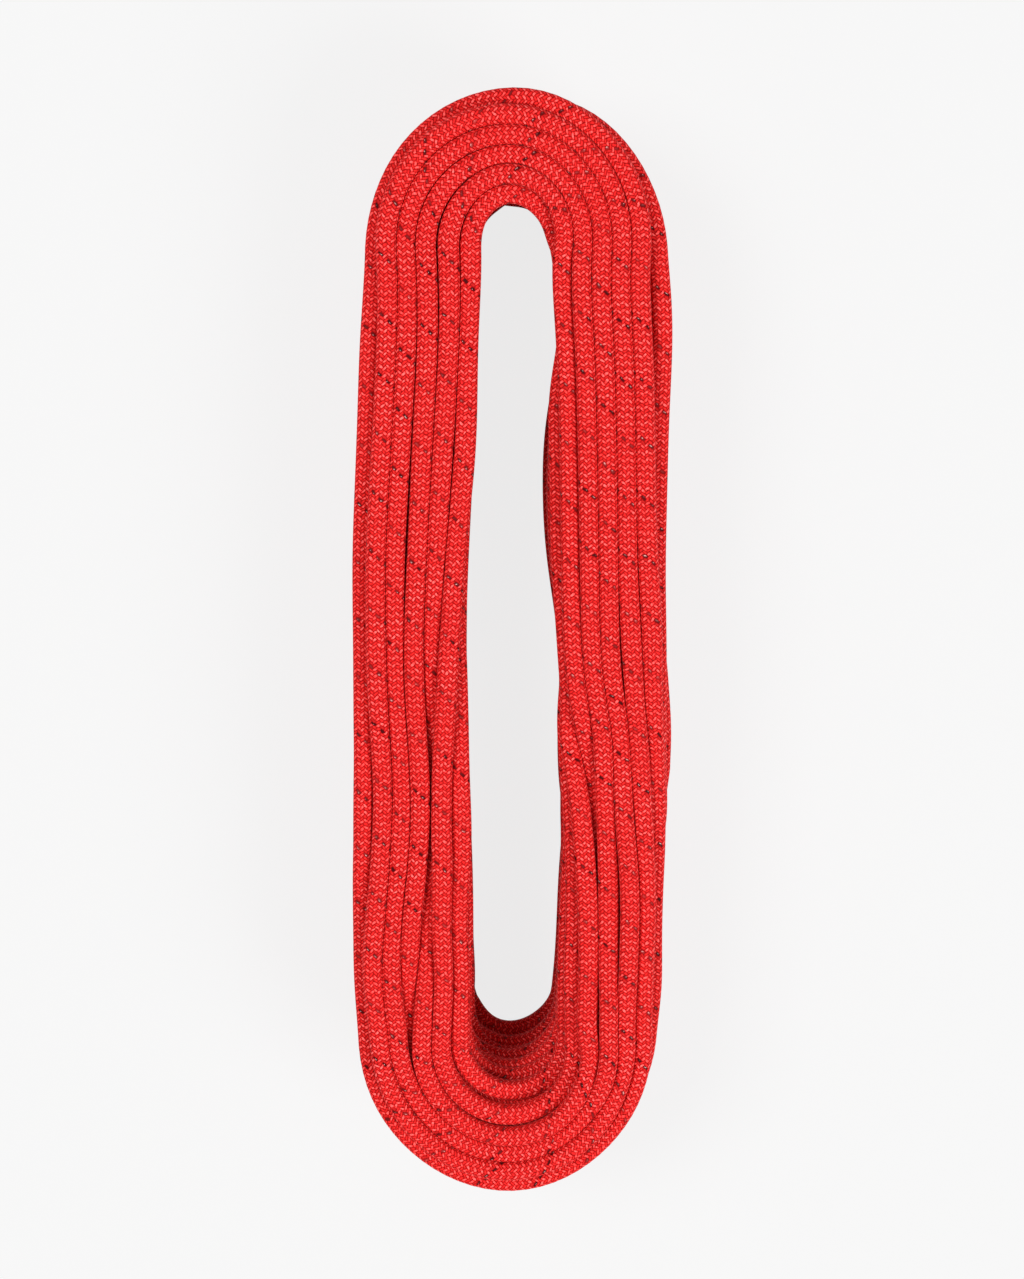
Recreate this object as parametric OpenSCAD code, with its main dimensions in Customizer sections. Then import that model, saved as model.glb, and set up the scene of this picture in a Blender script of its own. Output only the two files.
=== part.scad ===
// Dynamic climbing rope, wound as the long oval hank it is sold and carried in.
// The hank lies flat: X across its two legs, Y along them, Z up through its thickness.
// The origin is under the middle of the hank, on the surface that it lies on.
// The outer layer is one unbroken rope that goes round the hank as many times as there are
// turns and, at a steady rate, once round the thick bundle that the turns make. The turns
// under it are one plain core. At both ends the rope is opened up: a hollow sheath, twelve
// core strands and a marker tape, closed by a fused tip under a shrunk sleeve.

/* [Rope] */
// Diameter of the rope
rope_d = 9.5; // [8.6:0.1:10.4]
// Wall of the braided sheath
sheath_wall = 1.1; // [0.9:0.05:1.4]
// Thickness of the marker tape inside the sheath
tape_t = 0.12; // [0.1:0.01:0.2]
// Width of the marker tape
tape_w = 3; // [2:0.1:4]
// Gap between two neighbouring core strands
strand_gap = 0.04; // [0.02:0.01:0.1]

/* [Hank] */
// Length of the hank over both round ends
hank_l = 545; // [420:5:700]
// Width of the eye between the two legs
eye_w = 46; // [40:1:70]
// Width of one leg
leg_w = 54; // [50:1:60]
// Corner radius of a leg's section, along the middle of its outer turns
leg_corner_r = 12; // [11.5:0.5:14]
// Whole turns in the outer layer
turns = 23; // [21:1:24]
// Gap between two neighbouring turns of the outer layer
turn_gap = 0.6; // [0.55:0.05:1]
// Gap between the outer layer and the core of inner turns
core_gap = 0.3; // [0.3:0.05:0.5]

/* [Ends] */
// Height of the place midway between the two ends of the rope
ends_z = 40; // [30:1:55]
// Length of one opened end, from the winding to its tip
end_l = 70; // [60:1:90]
// Length of the fused tip, its dome included
tip_l = 3; // [2:0.5:5]
// Height of the dome on the fused tip
dome_h = 1.2; // [0.8:0.1:1.6]
// How far the fused tip reaches into the sheath
plug_l = 2; // [1:0.5:4]
// Length of the shrunk sleeve
sleeve_l = 32; // [20:1:40]
// Wall of the shrunk sleeve
sleeve_wall = 0.3; // [0.2:0.05:0.35]
// How far the sleeve stops short of the tip's dome
sleeve_setback = 0.4; // [0.2:0.1:1]

/* [Hidden] */
$fn = 64;
// Faces round the winding's tube, and rings along one turn of it
tube_sides = 6;
arc_steps = 9;
rings_a_turn = 2 * (arc_steps + 1) + 4;
// Clearance round pieces that slide into or over one another
slide_gap = 0.05;
// Core strands: three in the middle and nine round them
inner_strands = 3;
outer_strands = 9;
strands = inner_strands + outer_strands;

rope_r = rope_d / 2;
bore_r = rope_r - sheath_wall;
// The outer turns' tube has flats, and one of them faces out, so it reaches this far
tube_reach = rope_r * cos(180 / tube_sides);
// The lowest turns are cut flat where the hank rests
floor_cut = rope_d / 10;

// Section of a leg: a rounded rectangle that the middles of the outer turns lie on.
// Two turns on a corner lie a chord apart, so a corner takes fewer steps than its arc would.
turn_step = rope_d + turn_gap;
corner_run = turn_step * 90 / (2 * asin(turn_step / (2 * leg_corner_r)));
section_run = (turns + 1) * turn_step;
half_w = (leg_w - rope_d) / 2;
face_run = 2 * (half_w - leg_corner_r);
wall_run = section_run / 2 - face_run - 2 * corner_run;
half_h = wall_run / 2 + leg_corner_r;
mid_z = tube_reach - floor_cut + half_h;

// Plan of the hank: a long oval through the middle of its legs
mid_r = (eye_w + leg_w) / 2;
straight_l = hank_l - eye_w - 2 * leg_w;
// The turns cross the round ends in straight steps, which dip inwards of the arc by this
arc_dip = (mid_r + half_w) * (1 - cos(90 / arc_steps));

// The core keeps clear of the outer turns, of their dip and of the sleeves
core_inset = tube_reach + core_gap;
sleeve_r = rope_r + slide_gap + sleeve_wall;
core_out = half_w - max(core_inset + arc_dip, sleeve_r + core_gap);
core_in = half_w - core_inset;
core_half_h = half_h - core_inset;
core_corner_r = leg_corner_r - core_inset;

// The two ends lie side by side, a turn apart, on the outer wall of the right leg.
// Places round the section are counted from the inner wall, opposite the ends.
ends_run = ends_z - mid_z + wall_run / 2;
home_run = ends_run + section_run / 2;

// Core strands: the nine touch the three, a strand apart, and all fit inside the tape
strand_space_r = bore_r - tape_t - 2 * slide_gap;
unit_inner = 1 / sin(60);
unit_turn = 20;
unit_outer = unit_inner * cos(unit_turn) + sqrt(4 - pow(unit_inner * sin(unit_turn), 2));
strand_cell_r = strand_space_r / (unit_outer + 1);
strand_r = strand_cell_r - strand_gap / 2;
strand_l = end_l - tip_l - plug_l;
tape_r = bore_r - slide_gap;

function strand_name(i) = str("core_strand_", i < 10 ? "0" : "", i);

// Half of the section, from the foot of its outer wall to the top of its inner wall:
// how far out, how far up and which way the surface faces, at a run along it
function half_section(run) =
    run < wall_run ? [half_w, run - wall_run / 2, 0]
    : run < wall_run + corner_run
        ? let (turn = 90 * (run - wall_run) / corner_run)
          [face_run / 2 + leg_corner_r * cos(turn), wall_run / 2 + leg_corner_r * sin(turn), turn]
    : run < wall_run + corner_run + face_run
        ? [face_run / 2 - (run - wall_run - corner_run), half_h, 90]
    : let (turn = 90 + 90 * (run - wall_run - corner_run - face_run) / corner_run)
      [-face_run / 2 + leg_corner_r * cos(turn), wall_run / 2 + leg_corner_r * sin(turn), turn];

// The whole section, whose second half is the first turned half round
function section(run) =
    let (once = run - section_run * floor(run / section_run))
    once < section_run / 2
        ? half_section(once)
        : let (p = half_section(once - section_run / 2)) [-p.x, -p.y, p.z + 180];

// Stations of one turn, anticlockwise from the middle of the right leg:
// how far along Y, the direction outwards, and 1 where both ends lie beside the turns
stations = concat(
    [[0, 0, 1], [end_l, 0, 1]],
    [for (i = [0 : arc_steps]) [straight_l / 2, 180 * i / arc_steps, 0]],
    [[0, 180, 0]],
    [for (i = [0 : arc_steps]) [-straight_l / 2, 180 + 180 * i / arc_steps, 0]],
    [[-end_l, 360, 1]]
);

// Middle line of the legs at a station, and the share of the turn that is behind it
function oval(s) =
    let (y = s.x, a = s.y, round_end = abs(y) == straight_l / 2)
    round_end ? [mid_r * cos(a), y + mid_r * sin(a)] : [mid_r * cos(a), y];
lengths = [for (i = [1 : len(stations) - 1]) norm(oval(stations[i]) - oval(stations[i - 1]))];
function sum_to(i, list) = i <= 0 ? 0 : list[i - 1] + sum_to(i - 1, list);
// The turns keep their places beside the ends and move over at a steady rate elsewhere
drift_from = sum_to(1, lengths);
drift_to = sum_to(rings_a_turn - 1, lengths);
function drift(i) = max(0, (sum_to(i, lengths) - drift_from) / (drift_to - drift_from));
drifts = [for (i = [0 : rings_a_turn - 1]) drift(i)];

// Place on the section of one ring: beside the ends there is one turn more in it
function place(ring) =
    let (i = ring % rings_a_turn,
         turn = floor(ring / rings_a_turn),
         step = section_run / (turns + stations[i].z))
    section(home_run + (turn + drifts[i] - turns / 2) * step);

// Middle of one ring of the tube, which lies square to the oval
function ring_middle(ring) =
    let (s = stations[ring % rings_a_turn], p = place(ring), o = oval(s))
    [o.x + p.x * cos(s.y), o.y + p.x * sin(s.y), mid_z + p.y];
function ring_points(ring) =
    let (s = stations[ring % rings_a_turn], middle = ring_middle(ring), faces = place(ring).z)
    [for (i = [0 : tube_sides - 1])
        let (a = faces + (i + 0.5) * 360 / tube_sides)
        middle + rope_r * [cos(a) * cos(s.y), cos(a) * sin(s.y), sin(a)]];

last_ring = turns * rings_a_turn;
middles = [for (ring = [0 : last_ring]) ring_middle(ring)];

// Least gap of the tube to itself, on the middles of its rings and halfway between them.
// Turns are compared at the same station, where neighbours lie closest.
halfways = [for (ring = [0 : last_ring - 1]) (middles[ring] + middles[ring + 1]) / 2];
function nearest(points) = min([
    for (i = [0 : rings_a_turn - 1])
        for (a = [i : rings_a_turn : len(points) - 1])
            for (b = [a + rings_a_turn : rings_a_turn : len(points) - 1])
                norm(points[a] - points[b])
]);
echo(least_gap_of_the_winding_to_itself = min(nearest(middles), nearest(halfways)) - rope_d);
echo(thickness_of_the_hank = mid_z + half_h + tube_reach);

// The outer layer: one unbroken tube, swept through every ring, then cut flat underneath
module rope_winding() {
    points = [for (ring = [0 : last_ring]) each ring_points(ring)];
    walls = [for (ring = [0 : last_ring - 1])
        for (i = [0 : tube_sides - 1])
            let (a = ring * tube_sides + i,
                 b = ring * tube_sides + (i + 1) % tube_sides)
            each [[a, b, b + tube_sides], [a, b + tube_sides, a + tube_sides]]];
    first_cap = [for (i = [1 : tube_sides - 2]) [0, i + 1, i]];
    last = last_ring * tube_sides;
    last_cap = [for (i = [1 : tube_sides - 2]) [last, last + i, last + i + 1]];
    color("#d8151b")
        difference() {
            polyhedron(points, concat(first_cap, walls, last_cap), convexity = 10);
            translate([-hank_l, -hank_l, -rope_d])
                cube([2 * hank_l, 2 * hank_l, rope_d]);
        }
}

// Section of the core of inner turns, with rounded edges, standing on the oval's middle line
module core_section() {
    translate([-core_in, -core_half_h + core_corner_r])
        square([core_in + core_out, 2 * (core_half_h - core_corner_r)]);
    translate([-core_in + core_corner_r, -core_half_h])
        square([core_in + core_out - 2 * core_corner_r, 2 * core_half_h]);
    for (x = [-core_in + core_corner_r, core_out - core_corner_r])
        for (y = [-1, 1])
            translate([x, y * (core_half_h - core_corner_r)])
                circle(core_corner_r);
}

// The turns under the outer layer, as one plain ring
module inner_turns() {
    color("#b81217")
        translate([0, 0, mid_z])
            union() {
                for (side = [-1, 1])
                    translate([0, side * straight_l / 2, 0])
                        rotate(side > 0 ? 0 : 180)
                            rotate_extrude(angle = 180)
                                translate([mid_r, 0])
                                    core_section();
                for (side = [0, 180])
                    rotate(side)
                        translate([mid_r, straight_l / 2, 0])
                            rotate([90, 0, 0])
                                linear_extrude(straight_l)
                                    core_section();
            }
}

// Puts an end's pieces, built upwards from the winding's face, where that end lies.
// The first end is the upper one and points down the hank, the second one up it.
module at_first_end() {
    translate([mid_r + half_w, 0, ends_z + turn_step / 2])
        rotate([90, 0, 0])
            children();
}

module at_second_end() {
    translate([mid_r + half_w, 0, ends_z - turn_step / 2])
        rotate([-90, 0, 0])
            children();
}

module at_both_ends() {
    at_first_end()
        children();
    at_second_end()
        children();
}

// Braided sheath, hollow, from the winding to the fused tip
module sheath() {
    color("#d8151b")
        difference() {
            cylinder(h = end_l - tip_l, r = rope_r);
            translate([0, 0, -rope_d])
                cylinder(h = end_l + 2 * rope_d, r = bore_r);
        }
}

// One strand of the core, by its number: the first three lie in the middle
module core_strand(i) {
    middle = i <= inner_strands;
    ring_r = strand_cell_r * (middle ? unit_inner : unit_outer);
    turn = middle ? 360 / inner_strands * i : 360 / outer_strands * (i + 0.5);
    color("#f2efe6")
        at_both_ends()
            rotate(turn)
                translate([ring_r, 0, 0])
                    cylinder(h = strand_l, r = strand_r);
}

// Thin tape between the core and the sheath, curved to the sheath's wall
module marker_tape() {
    spread = tape_w / tape_r * 180 / PI;
    color("#3a6fb0")
        at_both_ends()
            linear_extrude(strand_l)
                intersection() {
                    difference() {
                        circle(tape_r);
                        circle(tape_r - tape_t);
                    }
                    polygon([
                        [0, 0],
                        rope_d * [cos(spread / 2), -sin(spread / 2)],
                        rope_d * [cos(spread / 2), sin(spread / 2)]
                    ]);
                }
}

// Clear sleeve, shrunk over the sheath's end, which it holds to the tip
module sleeve() {
    color("#f0d9d6")
        translate([0, 0, end_l - dome_h - sleeve_setback - sleeve_l])
            difference() {
                cylinder(h = sleeve_l, r = sleeve_r);
                translate([0, 0, -1])
                    cylinder(h = sleeve_l + 2, r = rope_r + slide_gap);
            }
}

// Sheath and core melted together: a disc with a domed face and a plug that fills the sheath
module fused_tip() {
    dome_r = (rope_r * rope_r + dome_h * dome_h) / (2 * dome_h);
    color("#8f1216")
        union() {
            translate([0, 0, end_l - tip_l - plug_l])
                cylinder(h = plug_l + 1, r = bore_r - slide_gap);
            translate([0, 0, end_l - tip_l])
                cylinder(h = tip_l - dome_h, r = rope_r);
            translate([0, 0, end_l - dome_h])
                rotate_extrude()
                    intersection() {
                        translate([0, dome_h - dome_r])
                            circle(dome_r, $fn = 180);
                        square([rope_r, dome_h]);
                    }
        }
}

module first_end_sheath() at_first_end() sheath();
module second_end_sheath() at_second_end() sheath();
module first_end_sleeve() at_first_end() sleeve();
module second_end_sleeve() at_second_end() sleeve();
module first_end_tip() at_first_end() fused_tip();
module second_end_tip() at_second_end() fused_tip();

rope_winding();
inner_turns();
first_end_sheath();
second_end_sheath();
for (i = [1 : strands]) core_strand(i);
marker_tape();
first_end_sleeve();
second_end_sleeve();
first_end_tip();
second_end_tip();
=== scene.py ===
"""Looks of a dynamic climbing rope wound as a long oval hank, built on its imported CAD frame.

The rope is one route. It starts at its first end, goes round the hank 55 times and ends at its
second end. Each turn is drawn to a place in the hank's section, and then all turns are pushed
apart until none lies in another, which gives the nesting, the bulges and the gaps of a real pile.
Lengths are in millimetres up to the meshes, which are in metres.
"""

import functools
import math

import bpy
import numpy as np
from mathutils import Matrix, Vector


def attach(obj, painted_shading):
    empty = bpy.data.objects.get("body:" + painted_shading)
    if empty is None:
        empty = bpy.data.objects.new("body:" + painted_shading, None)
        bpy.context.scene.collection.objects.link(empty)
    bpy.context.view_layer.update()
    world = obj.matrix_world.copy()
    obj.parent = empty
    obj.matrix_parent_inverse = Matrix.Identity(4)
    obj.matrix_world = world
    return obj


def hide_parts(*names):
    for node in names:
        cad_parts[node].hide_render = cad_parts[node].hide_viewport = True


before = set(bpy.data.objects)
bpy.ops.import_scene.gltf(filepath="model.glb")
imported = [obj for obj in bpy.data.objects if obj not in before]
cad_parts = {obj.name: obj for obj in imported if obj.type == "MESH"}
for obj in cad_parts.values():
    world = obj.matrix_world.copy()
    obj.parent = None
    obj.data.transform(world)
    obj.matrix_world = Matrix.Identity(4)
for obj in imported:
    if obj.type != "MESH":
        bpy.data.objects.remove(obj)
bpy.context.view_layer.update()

MM = 0.001

# ---------------------------------------------------------------- camera

# The hank is seen from above its upper half and a little left of its middle
CAMERA_AT = (-0.020, 0.215, 1.320)
CAMERA_AIM = (0.0, 0.002, 0.050)
CAMERA_LENS = 71.9


def add_camera():
    """Adds the camera, aimed from its place at the aim, with the image's up along the hank."""
    data = bpy.data.cameras.new("camera")
    data.lens = CAMERA_LENS
    data.clip_end = 20.0
    camera = bpy.data.objects.new("camera", data)
    bpy.context.scene.collection.objects.link(camera)
    away = np.array(CAMERA_AT) - np.array(CAMERA_AIM)
    away /= np.linalg.norm(away)
    right = np.cross((0.0, 1.0, 0.0), away)
    right /= np.linalg.norm(right)
    up = np.cross(away, right)
    matrix = np.eye(4)
    matrix[:3, 0], matrix[:3, 1], matrix[:3, 2] = right, up, away
    matrix[:3, 3] = CAMERA_AT
    camera.matrix_world = matrix.T.tolist()
    bpy.context.scene.camera = camera


# ---------------------------------------------------------------- the hank's plan

# Sizes that the CAD has too: the rope, the middle line of the legs, how far each end reaches
# from the middle of the right leg to its fused tip, and how far out and up the ends lie
ROPE_D = 9.5
MID_R = 50.0
STRAIGHT = 391.0
END_REACH = 67.0
END_OUT = 22.25
END_HEIGHTS = (45.05, 34.95)

# One turn round the middle line of the legs, from the middle of the right leg
ARC = math.pi * MID_R
LAP = 2 * STRAIGHT + 2 * ARC
STATIONS = 244
STEP = LAP / STATIONS
END_STATIONS = round(END_REACH / STEP)


def oval(s):
    """Middle line of the legs at the runs s: its points and its outward directions.

    The run starts at the middle of the right leg and goes up it. On a straight part a point
    moves along the leg, and on a round end it turns about the end's centre by run over radius.
    """
    s = np.mod(s, LAP)
    half = STRAIGHT / 2
    turn = np.clip((s - half) / MID_R, 0, math.pi)
    turn = turn + np.clip((s - half - ARC - STRAIGHT) / MID_R, 0, math.pi)
    upper = (s < half + ARC + half) & (s > half)
    end = np.where(upper | (s <= half), half, -half)
    straight_y = np.select(
        [s < half, s < half + ARC, s < half + ARC + STRAIGHT, s < LAP - half],
        [s, half, 2 * half + ARC - s, -half],
        s - LAP,
    )
    on_arc = ((s >= half) & (s < half + ARC)) | (
        (s >= half + ARC + STRAIGHT) & (s < LAP - half)
    )
    y = np.where(on_arc, end + MID_R * np.sin(turn), straight_y)
    out = np.stack([np.cos(turn), np.sin(turn)], -1)
    return np.stack([MID_R * np.cos(turn), y], -1), out


# ---------------------------------------------------------------- places in the section

# The pile has rows up and lanes out. Odd rows are shifted outwards and even rows inwards, so
# that a turn lies over the gap between two. The middles of the lowest row are LOWEST up.
ROWS = 11
LANES = 5
LANE_STEP = 9.8
ROW_STEP = 8.61
ROW_SHIFT = 2.4
LOWEST = 4.65

# Outer wall up, face inwards, inner wall down: the turns of the first half of the outside.
# Then the inside, and the rest of the outside back to the outer wall. Each place, as row
# and lane, lies beside the one before it.
WALL_UP = [(5, 4), (6, 4), (7, 4), (8, 4), (9, 4), (10, 4)]
FACE_IN = [(10, 3), (10, 2), (10, 1), (10, 0)]
WALL_DOWN = [(9, 0), (8, 0), (7, 0), (6, 0)]
INSIDE = [
    (6, 1), (7, 1), (8, 1), (9, 1), (9, 2), (9, 3), (8, 3), (8, 2), (7, 2),
    (7, 3), (6, 3), (6, 2), (5, 2), (5, 3), (4, 3), (4, 2), (3, 2), (3, 3),
    (2, 3), (1, 3), (1, 2), (2, 2), (1, 1), (2, 1), (3, 1), (4, 1), (5, 1),
]
REST_OUT = [
    (5, 0), (4, 0), (3, 0), (2, 0), (1, 0), (0, 0), (0, 1),
    (0, 2), (0, 3), (0, 4), (1, 4), (2, 4), (3, 4), (4, 4),
]
FIRST_OUT = WALL_UP + FACE_IN + WALL_DOWN
PLACES = FIRST_OUT + INSIDE + REST_OUT
TURNS = len(PLACES)

# Along one turn: how far the legs' middle is shifted outwards, and how wide the legs are
# against their full width. Each row is a run, a shift and a width. The shifts and widths
# weren't chosen by hand: a scratch program fitted them to a measured outline, and only the
# rows at 174 and 905 were changed by hand after that.
LEG_SHAPE = np.array([
    (0, 1.8, 0.92), (36, -3.7, 1.01), (72, -2.6, 1.01), (98, -3.5, 1.06), (122, -3.1, 0.99),
    (145, 2.7, 0.90), (157, 5.5, 0.80), (174, 5.0, 0.81), (192, -3.1, 0.92), (216, -6.0, 0.90),
    (243, 1.3, 1.00), (274, 3.9, 0.86), (300, -3.5, 0.82), (324, -10.4, 0.87),
    (348, -9.3, 0.99), (375, -5.7, 1.05), (405, -2.7, 0.94), (446, -3.7, 1.04),
    (500, 0.5, 1.01), (600, 1.8, 1.04), (683, -1.8, 1.05), (735, -2.1, 0.95), (766, -3.8, 0.89),
    (800, -2.1, 0.93), (830, -0.2, 1.00), (852, -3.2, 0.91), (876, -7.2, 0.76),
    (905, -1.5, 0.80), (930, 0.3, 0.76), (954, -1.7, 0.77), (1000, 1.6, 0.76),
    (1030, 2.7, 0.76), (1056, 1.4, 0.76), (1080, 4.0, 0.80),
])

# How far the inner wall's foot leans into the eye along one turn
LEAN = np.array([
    (0, 0), (50, 3), (100, 3), (145, 0), (192, 0), (274, 0), (640, 0), (700, 1),
    (743, 2), (780, 5), (840, 6), (880, 3), (905, 0), (967, 0), (1096, 0),
], float)

# How the turns on the outside are turned round the section against their places: they sit
# back by one place on the left leg
RING_SHIFT = np.array([(0, 0), (180, 0), (360, -1), (640, -1), (905, 0), (1060, 0)], float)

# The turns that make the front face, counted along the rope, and where they lie at each of
# these runs: how far out from the legs' middle line, and how far under the face. They were
# chosen by hand, but for a fifth of the values in FACE_OUT, which the same program fitted,
# and for most values at the runs 125, 157, 170, 216, 243 and 340, which it interpolated.
FACE_TURNS = (6, 7, 8, 9, 10, 11, 12)
FACE_RUNS = [
    0, 50, 98, 125, 157, 170, 192, 216, 243, 274, 313, 340, 356, 392, 446, 499, 546, 577, 600,
    620, 640, 683, 709, 735, 780, 822, 865, 905, 967, 1000, 1035, 1063, 1096,
]
FACE_OUT = np.array([
    [19, 15, 13, 12.4, 11.1, 10.1, 8.5, 11.6, 17.2, 23.1, 18.5, 12.8, 13.6, 18.9, 20, 22.7, 22.3,
     22.5, 23.1, 24.3, 23.9, 22.6, 24.3, 21.6, 18.3, 28.7, 12.5, 12.5, 16.5, 15.5, 13.5, 10.5, 8],
    [8, 5, 4, 3.1, 1.5, 0.4, -1.5, 2.7, 8.2, 16.8, 15, 11.9, 10, 10, 14, 18, 17.5, 16.5, 14, 13.5,
     15, 20, 20, 17.5, 16.5, 19, 9.5, 5.2, 7.5, 6, 3.5, 0, -3],
    [-3, -4.5, -4.5, -5.4, -7.3, -8.7, -11, -6.8, -1.3, 7.2, 5, 2.5, 1, 0.5, 4.5, 8, 8, 7.5, 6,
     4.5, 5.5, 10, 10, 7, 7.5, 10, 1.5, -3, -2, -3, -6, -10.5, -13],
    [-13, -13.5, -14, -14.6, -16.3, -17.7, -20, -15.5, -9.9, -1.8, -5, -7.7, -9, -9.5, -6, -3.5,
     -1.5, -2, -4, -5, -4, -1, 1.5, 1.5, 3, 5, -1, -7.5, -7.5, -8, -12, -16.5, -21],
    [-21, -21.5, -22, -22.6, -20.3, -21.8, -26, -23.4, -18.3, -10, -16, -18.8, -20, -19.7, -16,
     -12.5, -10, -9, -9, -9, -8.5, -7, -6, -4.5, -2.5, 0.5, -4.5, -12, -12, -13.5, -16.5, -16.3,
     -25],
    [-21.1, -26, -26, -29.2, -20.5, -21.8, -27.3, -28.2, -20.1, -17.9, -26, -30.2, -30.6, -28,
     -27.5, -21.4, -17.5, -15.5, -15, -14.5, -13.5, -11.5, -14, -14.5, -12.5, -10, -13, -18.5,
     -18, -19, -20.5, -22.5, -19.2],
    [-20.1, -25, -26, -28.9, -19.2, -20.8, -27, -28.2, -22.9, -19.3, -26.2, -22.9, -21, -21, -20,
     -20, -21.6, -21.9, -22.1, -24.2, -25.4, -21, -23, -23, -22, -19.5, -20, -23, -21.7, -19,
     -19.5, -21.9, -24],
])
FACE_UNDER = np.array([
    [0, 0, 0, 0, 0, 0, 0, 1.1, 3.2, 8, 6, 4.7, 4, 5, 5, 5, 5, 4, 2.5, 1.5, 1.5, 4, 4, 4, 5, 6, 2,
     0, 0, 0, 0, 0, 0],
    [0, 0, 0, 0, 0, 0, 0, 0, 0, 0, 0, 0, 0, 0, 0, 0, 0, 0, 0, 0, 0, 0, 0, 0, 0, 0, 0, 0.5, 0, 0,
     0, 0, 0],
    [0, 0, 0, 0, 0, 0, 0, 0, 0, 0, 0, 0, 0, 0, 0, 0, 0.5, 3, 4.5, 2, 0, 0, 0, 0, 0, 0, 0, 0, 0, 0,
     0, 0, 0.5],
    [0.5, 1, 1, 1, 1, 1, 1, 0.4, 0.7, 3.5, 0, 0, 0, 0, 0, 0, 0, 0, 0, 0, 0, 0, 2.5, 7, 8.6, 8.6,
     8.6, 8.6, 8, 7.5, 5, 3, 4],
    [4, 4.5, 4.5, 4.8, 5, 5, 5, 3.9, 2.4, 0, 0, 0, 0, 0, 0, 0, 1.5, 4, 7, 8.6, 8.6, 5, 1.5, 0, 0,
     0, 1, 1.5, 1.5, 1.5, 3, 6, 11],
    [11, 12, 12, 12, 11.7, 11.5, 11, 8.8, 6, 2, 2, 2, 2, 1.5, 0, 0, 0, 0, 0, 0, 0, 0, 0, 0.5, 1.5,
     3, 5, 6.5, 7, 7, 9, 13, 19.5],
    [19.5, 20, 20.5, 20.2, 19.7, 19.5, 19, 16.2, 12.6, 7, 9, 9, 9, 9, 8.6, 8.6, 5, 3, 2, 1.5, 1.5,
     3, 2, 2.5, 6, 10, 13, 14.5, 15, 16, 18, 22, 28],
])

# Where the turns start to move over to the next place: a run low on the right leg
MOVE_FROM = 966.0
# Beyond the ends' own reach, the first turn and the last are led to them over this run
LEAD_RUN = 60.0
# How far each turn wanders from its place, out and up
WANDER_OUT, WANDER_UP = 0.6, 0.4
# How strongly a turn is drawn to its place in each round: in the pile, on the front face and
# where it is led to an end. The ends themselves are held, with strength 1.
DRAWN, DRAWN_ON_FACE, DRAWN_TO_END = 0.03, 0.12, 0.2


def smooth_step(x):
    """Goes from 0 to 1 as x does, flat at both: three x squared less two x cubed."""
    x = np.clip(x, 0, 1)
    return x * x * (3 - 2 * x)


def smooth_lap(values):
    """Values along the lap, each replaced by the mean of itself and three on either side."""
    return sum(np.roll(values, k) for k in range(-3, 4)) / 7


def place_point(place, shift, width, lean):
    """Targets of a place along the lap, as out and up, for the legs' shift, width and lean.

    The lean moves the lowest place of the inner wall in full, and fades to none at the top
    row and at the outer wall.
    """
    row, lane = place
    out = (lane - (LANES - 1) / 2) * LANE_STEP + (ROW_SHIFT if row % 2 else -ROW_SHIFT)
    foot = (1 - row / (ROWS - 1)) * (1 - lane / (LANES - 1))
    up = np.full_like(shift, LOWEST + row * ROW_STEP)
    return np.stack([shift + width * out - foot * lean, up], -1)


def wander(count, rng, size, knots=9):
    """Seeded smooth wander of each turn along its lap: a few random values, joined smoothly."""
    values = rng.normal(0, size, (count, knots))
    x = np.arange(STATIONS) / STATIONS * knots
    i = x.astype(int) % knots
    f = smooth_step(x - np.floor(x))
    return values[:, i] * (1 - f) + values[:, (i + 1) % knots] * f


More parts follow.
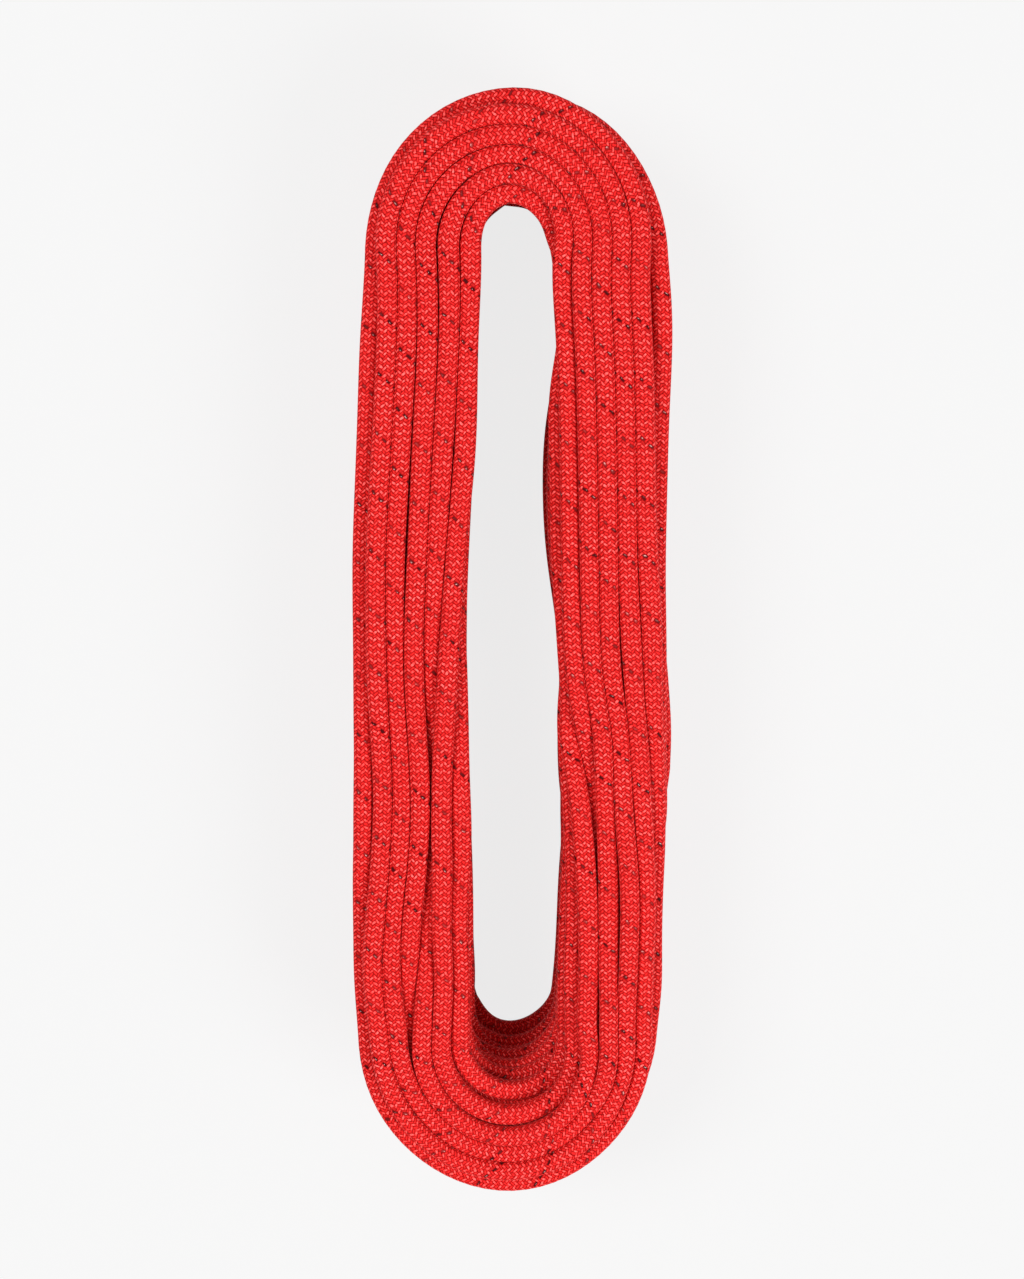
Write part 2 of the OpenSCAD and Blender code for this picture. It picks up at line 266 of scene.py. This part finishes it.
def targets():
    """Where each turn is drawn to at each station, and how strongly.

    Returns an array of turns by stations by (out, up) and one of strengths. The first row is
    the rope's first end, before the first turn, and the last row its second end.
    """
    s = np.arange(STATIONS) * STEP
    shift = smooth_lap(np.interp(s, LEG_SHAPE[:, 0], LEG_SHAPE[:, 1], period=LAP))
    width = smooth_lap(np.interp(s, LEG_SHAPE[:, 0], LEG_SHAPE[:, 2], period=LAP))
    lean = np.interp(s, LEAN[:, 0], LEAN[:, 1])
    spots = np.stack([place_point(p, shift, width, lean) for p in PLACES])

    # The outside as a ring, turned by a share of a place
    ring = FIRST_OUT + REST_OUT
    ring_spots = np.stack([place_point(p, shift, width, lean) for p in ring])
    back = -np.interp(s, RING_SHIFT[:, 0], RING_SHIFT[:, 1], period=LAP)
    back = smooth_step(back)[None, :, None]
    turned = ring_spots * (1 - back) + np.roll(ring_spots, 1, axis=0) * back
    first = len(FIRST_OUT)
    spots[:first] = turned[:first]
    spots[first + len(INSIDE):] = turned[first:]

    # Over the last stretch each turn moves to the next one's place
    after = np.concatenate([spots[1:, :1], spots[-1:, :1]])
    after[-1, 0] = (END_OUT, END_HEIGHTS[1])
    move = smooth_step((s - MOVE_FROM) / (LAP - MOVE_FROM))[None, :, None]
    spots = spots * (1 - move) + after * move

    rng = np.random.default_rng(7)
    spots[..., 0] += wander(TURNS, rng, WANDER_OUT)
    spots[..., 1] += wander(TURNS, rng, WANDER_UP)
    strength = np.full((TURNS, STATIONS), DRAWN)

    face_height = LOWEST + (ROWS - 1) * ROW_STEP
    for row, turn in enumerate(FACE_TURNS):
        spots[turn - 1, :, 0] = np.interp(s, FACE_RUNS, FACE_OUT[row])
        spots[turn - 1, :, 1] = face_height - np.interp(s, FACE_RUNS, FACE_UNDER[row])
        strength[turn - 1] = DRAWN_ON_FACE

    # The two ends, and the stretch of the first turn and the last that leads to them
    all_spots = np.zeros((TURNS + 2, STATIONS, 2))
    all_strength = np.zeros((TURNS + 2, STATIONS))
    all_spots[1:-1] = spots
    all_strength[1:-1] = strength
    all_spots[0] = (END_OUT, END_HEIGHTS[0])
    all_spots[-1] = (END_OUT, END_HEIGHTS[1])
    all_strength[[0, -1]] = 1.0
    led_run = END_REACH + LEAD_RUN
    led = smooth_step(1 - s / led_run)[:, None]
    all_spots[1] = all_spots[1] * (1 - led) + np.array((END_OUT, END_HEIGHTS[0])) * led
    all_strength[1] = np.where(s < led_run, DRAWN_TO_END, all_strength[1])
    led = smooth_step((s - LAP + END_REACH + LEAD_RUN) / led_run)[:, None]
    all_spots[-2] = all_spots[-2] * (1 - led) + np.array((END_OUT, END_HEIGHTS[1])) * led
    return all_spots, all_strength


# ---------------------------------------------------------------- pushing the turns apart

# Least distance between turns' middles: the pile is pressed harder where the turns move over
PRESSED = np.array([(0, 9.0), (40, 9.3), (780, 9.3), (850, 8.9), (1090, 8.9)])
ROUNDS = 700
# In the last share of the rounds, the pull towards the places fades out
FADE_SHARE = 0.3
# The neighbours are looked up again each time this many rounds have passed
LOOK_UP_EVERY = 25
# Share of the missing distance that each of two turns is pushed by, and share of the way that
# a node goes to the middle of those before and after it, which is the rope's stiffness
PUSH = 0.42
STIFFNESS = 0.35


def present():
    """Which nodes are rope: the first end fills only the stations before the first turn, and
    the second end only those after the last."""
    here = np.ones((TURNS + 2, STATIONS), bool)
    here[0, : STATIONS - END_STATIONS] = False
    here[-1, END_STATIONS + 1 :] = False
    return here


def neighbours(points, here, count):
    """For each node, the turns that lie nearest in its own section."""
    far = 1e6
    away = np.linalg.norm(points[:, None] - points[None], axis=-1)
    away = np.where(here[None], away, far)
    away[np.arange(len(points)), np.arange(len(points))] = far
    return np.argpartition(away, count, axis=1)[:, :count]


def settle(spots, strength, here):
    """Pushes the turns apart in every section until none lies in another.

    In each round a node moves towards its spot, towards the middle of the nodes before and
    after it along the rope, and away from each neighbour that is nearer than the least
    distance. Nothing goes below the floor. Returns the settled points.
    """
    points = spots.copy()
    station = np.arange(STATIONS)[None, None, :]
    least = np.interp(np.arange(STATIONS) * STEP, PRESSED[:, 0], PRESSED[:, 1])
    flat_here = here.reshape(-1)
    inner = np.zeros_like(flat_here)
    inner[1:-1] = flat_here[1:-1] & flat_here[:-2] & flat_here[2:]
    free = here & (strength < 1)
    for done in range(ROUNDS):
        if done % LOOK_UP_EVERY == 0:
            near = neighbours(points, here, 12)
        fade = min(1.0, (ROUNDS - done) / (FADE_SHARE * ROUNDS))
        points += strength[..., None] * fade * (spots - points)
        flat = points.reshape(-1, 2)
        middle = np.zeros_like(flat)
        middle[1:-1] = (flat[:-2] + flat[2:]) / 2 - flat[1:-1]
        flat += STIFFNESS * middle * inner[:, None]
        away = points[:, None] - points[near, station]
        gap = np.linalg.norm(away, axis=-1) + 1e-9
        short = np.clip(least - gap, 0, None) * here[near, station]
        push = (away / gap[..., None] * short[..., None]).sum(1)
        points += PUSH * push * free[..., None]
        points[..., 1] = np.maximum(points[..., 1], LOWEST)
    return points


# ---------------------------------------------------------------- the rope's surface

SIDES = 24
# Half the width of the free section, and the power that squares it. A power of 2 is round.
FREE_R = 4.8
SQUARE = 3.1
ROUND = 2.0
# Stations over which the rope goes from round to square, from each end
SQUARE_AFTER = 20
# Half the gap left between two turns that press on each other
CLEAR = 0.02
# Room counted for a side with no turn beside it, and how much wider a section may become
MOST_ROOM = 10.4
WIDEST = 1.14
# A neighbour or the floor stops only the sides whose cosine towards it is above this
FACING = 0.2
NO_STOP = 1e3


def sections(points, here):
    """Reach of the rope's surface at each node and side, pressed flat against its neighbours.

    Pressed in the pile, the free section is a square with well rounded corners: the reach
    grows as cosine and sine to a power add up to less. Where the turns at its sides leave
    room it is wider than high, up to halfway to them, with the same area. Near the ends it is
    round. Seen along the rope, a neighbour at a distance d stops the surface at half of d,
    divided by the cosine of the angle between that side and the neighbour. The floor stops it
    as well. The least of these is taken with a soft corner.
    """
    turn = np.arange(SIDES) / SIDES * 2 * math.pi
    power = np.full(points.shape[:2] + (1,), SQUARE)
    power[[0, -1]] = ROUND
    to_square = smooth_step(np.arange(STATIONS) / SQUARE_AFTER)
    power[1, :, 0] = ROUND + (SQUARE - ROUND) * to_square
    power[-2, :, 0] = power[1, ::-1, 0]
    is_round = power < ROUND + 0.01
    near = neighbours(points, here, 8)
    station = np.arange(STATIONS)[None, None, :]
    away = points[near, station] - points[:, None]
    gap = np.linalg.norm(away, axis=-1)
    there = here[near, station]
    bearing = np.arctan2(away[..., 1], away[..., 0])
    beside = there & (np.abs(away[..., 1]) < 0.6 * np.abs(away[..., 0]))
    # The room to both sides, at most MOST_ROOM each, as a running mean over nine nodes
    room = sum(
        np.where(beside & (away[..., 0] * way > 0), gap, MOST_ROOM).min(1) for way in (-1, 1)
    )
    room = np.convolve(np.minimum(room, 2 * MOST_ROOM).ravel(), np.ones(9) / 9, "same")
    wide = np.clip(room.reshape(points.shape[:2] + (1,)) / 4 / FREE_R, 1, WIDEST)
    wide = np.where(is_round, 1.0, wide)
    across, up = np.abs(np.cos(turn)) / wide, np.abs(np.sin(turn)) * wide
    reach = (across**power + up**power) ** (-1 / power)
    reach = np.where(is_round, ROPE_D / 2, FREE_R) * reach
    for k in range(near.shape[1]):
        side = np.cos(turn - bearing[:, k, :, None])
        stop = np.where(
            (side > FACING) & there[:, k, :, None],
            (gap[:, k, :, None] / 2 - CLEAR) / np.maximum(side, FACING),
            NO_STOP,
        )
        reach = soft_least(reach, stop)
    down = -np.sin(turn)
    floor = np.where(down > FACING, points[..., 1:2] / np.maximum(down, FACING), NO_STOP)
    return soft_least(reach, floor)


def soft_least(a, b, soft=0.12):
    """The lesser of a and b, with a rounded corner where they cross; never more than either."""
    gap = np.clip(1 - np.abs(a - b) / soft, 0, 1)
    return np.minimum(a, b) - soft * gap * gap / 4


def rope_rings(points, reach):
    """Rings of the rope and their middles, in metres, by turn and station.

    A ring lies in its station's section: out along the plan's normal and up along Z. The first
    ring and the last are moved to where the fused tips begin.
    """
    s = np.arange(STATIONS) * STEP
    turn = np.arange(SIDES) / SIDES * 2 * math.pi
    runs = np.tile(s, (len(points), 1))
    runs[0, STATIONS - END_STATIONS] = LAP - END_REACH
    runs[-1, END_STATIONS] = END_REACH
    base, out = oval(runs)
    n = points[..., 0:1] + reach * np.cos(turn)
    z = points[..., 1:2] + reach * np.sin(turn)
    rings = np.concatenate(
        [base[:, :, None] + n[..., None] * out[:, :, None], z[..., None]], -1
    )
    middles = np.concatenate([base + points[..., 0:1] * out, points[..., 1:2]], -1)
    return rings * MM, middles * MM


# ---------------------------------------------------------------- materials

# Braid: two sets of 16 yarns that cross, each over two and under two, once round in a pitch
YARNS = 16
PITCH = 28.4

# Noise scales are features per metre, worked out from a size in millimetres: 1400 is 0.7 mm,
# 700 is 1.4 mm, 400 is 2.5 mm, 320 is 3 mm, 90 is 11 mm and 45 is 22 mm


def linear(hex_colour):
    """Scene-linear RGBA of an sRGB colour written as six hex digits."""
    parts = [int(hex_colour[i : i + 2], 16) / 255 for i in (0, 2, 4)]
    return [p / 12.92 if p <= 0.04045 else ((p + 0.055) / 1.055) ** 2.4 for p in parts] + [1.0]


def add_node(tree, kind, inputs=None, out=0, **settings):
    """Adds a node with its settings. Its inputs, by name or number, are linked where the value
    is a socket and set where it is a constant. Returns one of the node's outputs, if any."""
    node = tree.nodes.new("ShaderNode" + kind)
    for key, value in settings.items():
        setattr(node, key, value)
    for key, value in (inputs or {}).items():
        if isinstance(value, bpy.types.NodeSocket):
            tree.links.new(value, node.inputs[key])
        else:
            node.inputs[key].default_value = value
    return node.outputs[out] if node.outputs else None


def new_material(name):
    """A material with an empty node tree, and the function that adds nodes to it."""
    material = bpy.data.materials.new(name)
    material.use_nodes = True
    material.node_tree.nodes.clear()
    return material, functools.partial(add_node, material.node_tree)


def braided_polyamide():
    """Braided polyamide sheath: flat yarns about 1.3 mm wide, each over two and under two.

    Every second yarn stands proud, so the crowns join into rows of small waves round the rope.
    The colour holds painted light: a painted pale pink highlight on the crowns, stronger on
    some floats than others, and painted shade in dark red between them and on the sunk
    yarns. One yarn is a tracer of black and pale plies, which shows as diagonal rows of small
    flecks. UV map Braid counts the yarns of the two sets. They waver by up to half a yarn, as
    no braid is even.
    """
    material, add = new_material("braided_polyamide")
    place = add("TexCoord", out=3)
    waver = add("TexNoise", {"Vector": place, "Scale": 320.0, "Detail": 1.0}, out=1)
    waver = add("VectorMath", {0: waver, 1: (0.5, 0.5, 0.5)}, operation="SUBTRACT")
    waver = add("VectorMath", {0: waver, "Scale": 1.3}, operation="SCALE")
    even = add("UVMap", uv_map="Braid")
    yarns = add("VectorMath", {0: even, 1: waver}, operation="ADD")
    cell = add("VectorMath", {0: yarns}, operation="FLOOR")
    cell = add("SeparateXYZ", {0: cell}).node.outputs
    part = add("VectorMath", {0: yarns}, operation="FRACTION")
    part = add("SeparateXYZ", {0: part}).node.outputs

    # Four steps of the braid: the first set lies on top in two of them, the second in two
    total = add("Math", {0: cell[0], 1: cell[1]}, operation="ADD")
    step = add("Math", {0: total, 1: 4.0}, operation="FLOORED_MODULO")
    second = add("Math", {0: step, 1: 1.5}, operation="GREATER_THAN")
    late = add("Math", {0: step, 1: 2.0}, operation="FLOORED_MODULO")

    # Share of the way along a yarn's float, and the way across it from -1 to 1
    ahead = add("Mix", {0: second, 2: part[1], 3: part[0]})
    along = add("Math", {0: add("Math", {0: ahead, 1: late}, operation="ADD"), 1: 0.5},
                operation="MULTIPLY")
    aside = add("Mix", {0: second, 2: part[0], 3: part[1]})
    across = add("Math", {0: aside, 1: 2.0, 2: -1.0}, operation="MULTIPLY_ADD")

    # Height: a flattened arch across a yarn times an arch along its float, and every second
    # yarn lower
    edge = add("Math", {0: add("Math", {0: across}, operation="ABSOLUTE"), 1: 3.5},
               operation="POWER")
    crown = add("Math", {0: 1.0, 1: edge}, operation="SUBTRACT")
    arch = add("Math", {0: add("Math", {0: along, 1: math.pi}, operation="MULTIPLY")},
               operation="SINE")
    flat = add("Math", {0: arch, 1: 0.32}, operation="POWER")
    number = add("Mix", {0: second, 2: cell[0], 3: cell[1]})
    sunk = add("Math", {0: number, 1: 2.0}, operation="FLOORED_MODULO")
    rise = add("MapRange", {0: sunk, 3: 1.0, 4: 0.6})
    height = add("Math", {0: add("Math", {0: crown, 1: flat}, operation="MULTIPLY"), 1: rise},
                 operation="MULTIPLY")

    # Each float has its own strength of painted highlight and of the tracer's pale ply, and whole
    # stretches differ a little. The fibres are finer in the real yarn, and are drawn as coarse as
    # they need to be to show.
    floats = add("CombineXYZ", {0: cell[0], 1: cell[1]})
    own = add("TexWhiteNoise", {"Vector": floats}, noise_dimensions="2D")
    patches = add("TexNoise", {"Vector": place, "Scale": 45.0, "Detail": 2.0})
    fibres = add("TexNoise", {"Vector": place, "Scale": 1400.0, "Detail": 1.0})

    # Painted shade: the red darkens from the crowns to dark red in the dips between yarns and on
    # the sunk yarns, following the height and the fibres
    rough = add("Math", {0: fibres, 1: 0.5, 2: height}, operation="MULTIPLY_ADD")
    painted_shading = add("MapRange", {0: rough, 1: 0.25, 2: 1.05}, interpolation_type="SMOOTHSTEP")
    red = add("Mix", {0: painted_shading, 6: linear("7c0000"), 7: linear("f62827")}, out=2, data_type="RGBA")
    # Painted highlight: pale pink on the highest crowns, stronger on some floats and stretches
    # than on others
    highlight_mask = add("MapRange", {0: rough, 1: 0.85, 2: 1.3}, interpolation_type="SMOOTHSTEP")
    highlight_strength = add("Math", {0: own, 1: patches}, operation="MULTIPLY")
    highlight_strength = add("Math", {0: highlight_strength, 1: 1.35, 2: 0.22}, operation="MULTIPLY_ADD")
    painted_highlight = add("Math", {0: highlight_mask, 1: highlight_strength}, operation="MULTIPLY", use_clamp=True)
    red = add("Mix", {0: painted_highlight, 6: red, 7: linear("ff7a76")}, out=2, data_type="RGBA")

    # The tracer and a half dark yarn beside it, seen where the first set lies on top: black,
    # with a pale ply along one side of each float
    carrier = add("Math", {0: cell[0], 1: float(YARNS)}, operation="FLOORED_MODULO")
    tracer = add("MapRange", {0: carrier, 1: 0.0, 2: 1.4, 3: 1.0, 4: 0.0})
    tracer = add("Math", {0: tracer, 1: second}, operation="SUBTRACT", use_clamp=True)
    inner = add("MapRange", {0: height, 1: 0.25, 2: 0.55}, interpolation_type="SMOOTHSTEP")
    inner = add("Math", {0: inner, 1: add("MapRange", {0: patches, 1: 0.3, 2: 0.6, 3: 0.5})},
                operation="MULTIPLY")
    tracer = add("Math", {0: tracer, 1: inner}, operation="MULTIPLY")
    spot = add("Math", {0: along, 1: 0.56, 2: 0.2}, operation="COMPARE")
    side = add("Math", {0: across, 1: -0.4, 2: 0.32}, operation="COMPARE")
    spot = add("Math", {0: spot, 1: side}, operation="MULTIPLY")
    pale = add("MapRange", {0: height, 1: 0.65, 2: 0.95}, interpolation_type="SMOOTHSTEP")
    pale = add("Math", {0: pale, 1: add("MapRange", {0: own, 1: 0.4, 2: 1.1})},
               operation="MULTIPLY")
    pale = add("Math", {0: pale, 1: spot}, operation="MULTIPLY")
    fleck = add("Mix", {0: pale, 6: linear("4a080b"), 7: linear("f2c2ba")}, out=2,
                data_type="RGBA")
    colour = add("Mix", {0: tracer, 6: red, 7: fleck}, out=2, data_type="RGBA")

    shader = add("BsdfPrincipled", {
        "Base Color": colour,
        "Roughness": add("MapRange", {0: height, 3: 0.75, 4: 0.5}),
        "Specular IOR Level": 0.05,
        "Sheen Weight": 0.09,
        "Sheen Roughness": 0.4,
        "Sheen Tint": linear("ff9c94"),
        "Normal": add("Bump", {"Strength": 0.8, "Distance": 0.0002, "Height": height}),
    })
    add("OutputMaterial", {"Surface": shader})
    return material


def fused_polyamide():
    """Polyamide melted and set at the rope's end: dark red, smooth but lumpy, so it shines in
    broken patches."""
    material, add = new_material("fused_polyamide")
    place = add("TexCoord", out=3)
    lumps = add("TexNoise", {"Vector": place, "Scale": 400.0, "Detail": 3.0})
    specks = add("TexNoise", {"Vector": place, "Scale": 1500.0, "Detail": 2.0})
    share = add("MapRange", {0: lumps, 1: 0.35, 2: 0.7})
    colour = add("Mix", {0: share, 6: linear("560a0d"), 7: linear("a3181b")}, out=2,
                 data_type="RGBA")
    shader = add("BsdfPrincipled", {
        "Base Color": colour,
        "Roughness": add("MapRange", {0: specks, 1: 0.3, 2: 0.7, 3: 0.22, 4: 0.42}),
        "IOR": 1.53,
        "Normal": add("Bump", {"Strength": 0.5, "Distance": 0.0004, "Height": lumps}),
    })
    add("OutputMaterial", {"Surface": shader})
    return material


def shrunk_film():
    """Clear polyolefin film shrunk over the rope's end: the red braid shows through it, under
    a pale veil and a soft gloss that ripples where the film drew tight."""
    material, add = new_material("shrunk_film")
    place = add("TexCoord", out=3)
    ripple = add("TexNoise", {"Vector": place, "Scale": 700.0, "Detail": 2.0})
    shader = add("BsdfPrincipled", {
        "Base Color": linear("fbeceb"),
        "Roughness": add("MapRange", {0: ripple, 1: 0.3, 2: 0.7, 3: 0.12, 4: 0.24}),
        "IOR": 1.49,
        "Specular IOR Level": 1.0,
        "Alpha": 0.14,
        "Normal": add("Bump", {"Strength": 0.35, "Distance": 0.00015, "Height": ripple}),
    })
    add("OutputMaterial", {"Surface": shader})
    return material


def matt_board():
    """Painted board under the rope: plain, pale and matt. What the camera sees of it is part
    lit and part plain pale, so it stays light and keeps a soft shadow."""
    material, add = new_material("matt_board")
    place = add("TexCoord", out=3)
    grain = add("TexNoise", {"Vector": place, "Scale": 90.0, "Detail": 2.0})
    colour = add("Mix", {0: grain, 6: linear("dadada"), 7: linear("dedede")}, out=2,
                 data_type="RGBA")
    lit = add("BsdfPrincipled", {"Base Color": colour, "Roughness": 0.9})
    plain = add("Emission", {"Color": linear("f7f7f7"), "Strength": 1.0})
    rays = add("LightPath").node.outputs
    seen = add("Math", {0: rays["Is Camera Ray"], 1: rays["Is Glossy Ray"]}, operation="ADD")
    seen = add("Math", {0: seen, 1: rays["Is Transmission Ray"]}, operation="MAXIMUM")
    share = add("Math", {0: seen, 1: 0.87}, operation="MULTIPLY")
    add("OutputMaterial", {"Surface": add("MixShader", {0: share, 1: lit, 2: plain})})
    return material


# ---------------------------------------------------------------- meshes


def face_grid(rings_count, sides):
    """Quads that join each ring to the next, as numbers of their corners, facing outwards."""
    ring = np.arange(rings_count - 1)[:, None] * sides
    side = np.arange(sides)[None, :]
    after = (side + 1) % sides
    return np.stack([ring + side, ring + after, ring + sides + after, ring + sides + side], -1)


def tube_mesh(name, rings, run):
    """A closed tube through the rings, with a fan at each end.

    UV map Braid counts yarns: those of the first set by the turn round the rope less the run
    in pitches, and those of the second by their sum. UV map OFBake cuts the tube into equal
    lengths and lays them side by side as strips.
    """
    count, sides, _ = rings.shape
    first, last = rings[0].mean(0), rings[-1].mean(0)
    points = np.concatenate([rings.reshape(-1, 3), [first, last]])
    quads = face_grid(count, sides).reshape(-1, 4)
    side = np.arange(sides)
    after = (side + 1) % sides
    hub = count * sides
    start_fan = np.stack([np.full(sides, hub), after, side], -1)
    highlight_mask = (count - 1) * sides
    end_fan = np.stack([np.full(sides, hub + 1), highlight_mask + side, highlight_mask + after], -1)

    mesh = bpy.data.meshes.new(name)
    mesh.vertices.add(len(points))
    mesh.vertices.foreach_set("co", points.ravel())
    corners = np.concatenate([quads.ravel(), start_fan.ravel(), end_fan.ravel()])
    mesh.loops.add(len(corners))
    mesh.loops.foreach_set("vertex_index", corners)
    sizes = np.concatenate([np.full(len(quads), 4), np.full(2 * sides, 3)])
    starts = np.concatenate([[0], np.cumsum(sizes)[:-1]])
    mesh.polygons.add(len(sizes))
    mesh.polygons.foreach_set("loop_start", starts)
    mesh.update(calc_edges=True)
    mesh.polygons.foreach_set("use_smooth", np.ones(len(sizes), bool))

    # Corners of the quads, in shares of the way round and along
    quad_turn = np.stack([side, side + 1, side + 1, side], -1) / sides
    quad_turn = np.broadcast_to(quad_turn, (count - 1, sides, 4))
    ring = np.arange(count - 1)
    quad_ring = np.stack([ring, ring, ring + 1, ring + 1], -1)[:, None, :]
    quad_ring = np.broadcast_to(quad_ring, (count - 1, sides, 4))
    fan_turn = np.tile(np.stack([side + 0.5, side + 1, side], -1) / sides, (2, 1))
    fan_run = np.concatenate([np.full(sides * 3, run[0]), np.full(sides * 3, run[-1])])
    turn = np.concatenate([quad_turn.ravel(), fan_turn.ravel()])
    pitches = np.concatenate([run[quad_ring].ravel(), fan_run]) / PITCH
    braid = YARNS * np.stack([turn - pitches, turn + pitches], -1)
    mesh.uv_layers.new(name="Braid").data.foreach_set("uv", braid.ravel())

    # The strips fill the map up to 0.956 of its width, and the two ends are discs beside them
    strips = max(1, round(math.sqrt((run[-1] - run[0]) / (math.pi * ROPE_D))))
    per = -(-(count - 1) // strips)
    strip = ring // per
    strip = np.broadcast_to(strip[:, None, None], quad_ring.shape)
    x = 0.004 + 0.952 * (quad_ring - strip * per) / per
    y = (strip + 0.04 + 0.92 * quad_turn) / strips
    angle = fan_turn * 2 * math.pi
    is_hub = np.tile([1.0, 0, 0], (2 * sides, 1))
    cap_x = 0.98 + 0.012 * np.cos(angle) * (1 - is_hub)
    cap_y = np.repeat([0.25, 0.75], sides)[:, None] + 0.012 * np.sin(angle) * (1 - is_hub)
    bake = np.stack([
        np.concatenate([x.ravel(), cap_x.ravel()]),
        np.concatenate([y.ravel(), cap_y.ravel()]),
    ], -1)
    mesh.uv_layers.new(name="OFBake").data.foreach_set("uv", bake.ravel())
    mesh.set_sharp_from_angle(angle=math.radians(60))
    mesh.validate()
    return mesh


def add_piece(mesh, material):
    """Adds a mesh to the scene as a piece that rides on the one body."""
    piece = bpy.data.objects.new(mesh.name, mesh)
    bpy.context.scene.collection.objects.link(piece)
    mesh.materials.append(material)
    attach(piece, "root")
    return piece


# ---------------------------------------------------------------- the rope's lengths

# The turns that one mesh holds, first and last. Turns inside the pile are coarser.
OUTSIDE_SPANS = [(1, 2), (3, 4), (5, 6), (7, 8), (9, 10), (11, 12), (13, 14)]
INSIDE_SPANS = [(15, 23), (24, 32), (33, 41)]
REST_SPANS = [(42, 43), (44, 45), (46, 47), (48, 49), (50, 51), (52, 53), (54, 55)]
# The last inside turn comes to the surface near its end, so the next mesh starts at this
# station of it
COMES_OUT = 196


def add_rope(rings, middles, material):
    """Cuts the rope into lengths, each a mesh that goes on from the one before it. The first
    length and the last end in the fused tips."""
    start_of = [turn * STATIONS for turn in range(TURNS + 2)]
    spans = OUTSIDE_SPANS + INSIDE_SPANS + REST_SPANS
    flat = rings.reshape(-1, SIDES, 3)
    line = middles.reshape(-1, 3)
    first = STATIONS - END_STATIONS
    last = start_of[-1] + END_STATIONS
    steps = np.linalg.norm(np.diff(line[first : last + 1], axis=0), axis=1) / MM
    run = np.zeros(len(line))
    run[first + 1 : last + 1] = np.cumsum(steps)

    pieces = []
    for number, (a, b) in enumerate(spans):
        inside = (a, b) in INSIDE_SPANS
        begin = first if number == 0 else start_of[a]
        end = last if number == len(spans) - 1 else start_of[b + 1]
        if (a, b) == REST_SPANS[0]:
            begin -= STATIONS - COMES_OUT
        if (a, b) == INSIDE_SPANS[-1]:
            end -= STATIONS - COMES_OUT
        every = 2 if inside else 1
        keep = np.arange(begin, end + 1, every)
        if keep[-1] != end:
            keep = np.append(keep, end)
        # The braid repeats after one pitch, so its run may start anew at each mesh
        own_run = run[keep] - PITCH * math.floor(run[begin] / PITCH)
        mesh = tube_mesh(f"rope_length_{number + 1:02d}", flat[keep][:, ::every], own_run)
        piece = add_piece(mesh, material)
        route = line[keep]
        if number == 0:
            route = route[::-1]
            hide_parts("first_end_sheath", "rope_winding")
        elif number == len(spans) - 1:
            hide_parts("second_end_sheath", "rope_winding")
        else:
            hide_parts("inner_turns" if inside else "rope_winding")
        pieces.append(piece)
    print("rope length, m:", round(run[last] * MM, 2))
    return pieces


def dress_ends():
    """Gives the CAD's fused tips and shrunk sleeves their materials."""
    film, tip = shrunk_film(), fused_polyamide()
    for end in ("first_end", "second_end"):
        for part, material in (("sleeve", film), ("tip", tip)):
            node_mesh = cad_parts[f"{end}_{part}"].data
            node_mesh.materials.clear()
            node_mesh.materials.append(material)


# ---------------------------------------------------------------- stage

# Each light's name, place, size and power. All are aimed at the hank's middle.
LIGHTS = [
    ("softbox_right", (2.6, -1.8, 3.2), 2.2, 145.0),
    ("softbox_left", (-2.2, 0.9, 3.6), 1.8, 112.0),
]


def add_stage():
    """Adds the pale floor, the world's even light and the soft lights."""
    mesh = bpy.data.meshes.new("floor")
    corners = [(-8, -8, -0.0002), (8, -8, -0.0002), (8, 8, -0.0002), (-8, 8, -0.0002)]
    mesh.from_pydata(corners, [], [(0, 1, 2, 3)])
    mesh.materials.append(matt_board())
    floor = bpy.data.objects.new("floor", mesh)
    bpy.context.scene.collection.objects.link(floor)

    world = bpy.data.worlds.new("studio")
    world.use_nodes = True
    tree = world.node_tree
    tree.nodes.clear()
    rays = add_node(tree, "LightPath").node.outputs
    seen = add_node(
        tree, "Math", {0: rays["Is Camera Ray"], 1: rays["Is Transmission Ray"]}, operation="ADD"
    )
    strength = add_node(tree, "MapRange", {0: seen, 3: 0.42, 4: 1.0})
    sky = add_node(tree, "Background", {"Color": linear("f5f5f5"), "Strength": strength})
    add_node(tree, "OutputWorld", {"Surface": sky})
    bpy.context.scene.world = world

    for name, place, size, power in LIGHTS:
        data = bpy.data.lights.new(name, "AREA")
        data.size = size
        data.energy = power
        light = bpy.data.objects.new(name, data)
        light.location = place
        light.rotation_euler = Vector(place).to_track_quat("Z", "Y").to_euler()
        bpy.context.scene.collection.objects.link(light)


# ---------------------------------------------------------------- everything

add_camera()
spots, strength = targets()
here = present()
points = settle(spots, strength, here)
reach = sections(points, here)
rings, middles = rope_rings(points, reach)
rope = add_rope(rings, middles, braided_polyamide())
core_nodes = [f"core_strand_{i:02d}" for i in range(1, 13)] + ["marker_tape"]
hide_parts(*core_nodes)
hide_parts(*core_nodes)
dress_ends()
bpy.context.scene.view_settings.view_transform = "Standard"
add_stage()
